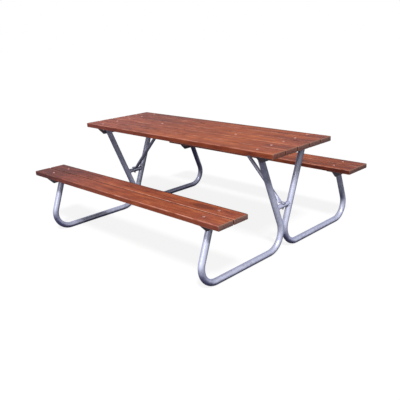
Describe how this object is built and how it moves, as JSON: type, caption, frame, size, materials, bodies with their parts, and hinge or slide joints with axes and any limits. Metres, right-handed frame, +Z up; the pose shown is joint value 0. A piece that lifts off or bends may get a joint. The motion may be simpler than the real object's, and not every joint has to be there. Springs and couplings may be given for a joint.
{
  "type": "table set",
  "caption": "Plank table with matching benches, carried by end frames of bent galvanised steel tube with crossbars, angle irons and braces, all held by round-headed bolts.",
  "frame": {"origin": "on the floor, under the middle of the table", "axes": "+X along the planks, +Y across them towards the rear bench, +Z up"},
  "size_m": [1.884, 1.59, 0.7443],
  "materials": {
    "stained_timber": "red-brown stained softwood, satin, with darker grain and end grain",
    "galvanised_steel": "hot-dip galvanised, blue-grey, satin with a faint spangle",
    "angle_iron": "dull dark galvanised, in the shade of the planks",
    "bolt_steel": "zinc plated, satin"
  },
  "bodies": {
    "root": {"table_plank_1": "stained_timber", "table_plank_2": "stained_timber", "table_plank_3": "stained_timber", "table_plank_4": "stained_timber", "table_plank_5": "stained_timber", "front_bench_plank_1": "stained_timber", "front_bench_plank_2": "stained_timber", "rear_bench_plank_1": "stained_timber", "rear_bench_plank_2": "stained_timber", "table_angle_left": "angle_iron", "table_angle_right": "angle_iron", "front_bench_angle_left": "angle_iron", "front_bench_angle_right": "angle_iron", "rear_bench_angle_left": "angle_iron", "rear_bench_angle_right": "angle_iron", "front_tube_left": "galvanised_steel", "front_tube_right": "galvanised_steel", "rear_tube_left": "galvanised_steel", "rear_tube_right": "galvanised_steel", "crossbar_left": "galvanised_steel", "crossbar_right": "galvanised_steel", "brace_left": "galvanised_steel", "brace_right": "galvanised_steel", "table_bolt_left_1": "bolt_steel", "table_bolt_left_2": "bolt_steel", "table_bolt_left_3": "bolt_steel", "table_bolt_left_4": "bolt_steel", "table_bolt_left_5": "bolt_steel", "table_bolt_right_1": "bolt_steel", "table_bolt_right_2": "bolt_steel", "table_bolt_right_3": "bolt_steel", "table_bolt_right_4": "bolt_steel", "table_bolt_right_5": "bolt_steel", "front_bench_bolt_left_1": "bolt_steel", "front_bench_bolt_left_2": "bolt_steel", "front_bench_bolt_right_1": "bolt_steel", "front_bench_bolt_right_2": "bolt_steel", "rear_bench_bolt_left_1": "bolt_steel", "rear_bench_bolt_left_2": "bolt_steel", "rear_bench_bolt_right_1": "bolt_steel", "rear_bench_bolt_right_2": "bolt_steel", "brace_top_bolt_left": "bolt_steel", "brace_top_bolt_right": "bolt_steel", "brace_foot_bolt_left": "bolt_steel", "brace_foot_bolt_right": "bolt_steel"}
  },
  "joints": []
}
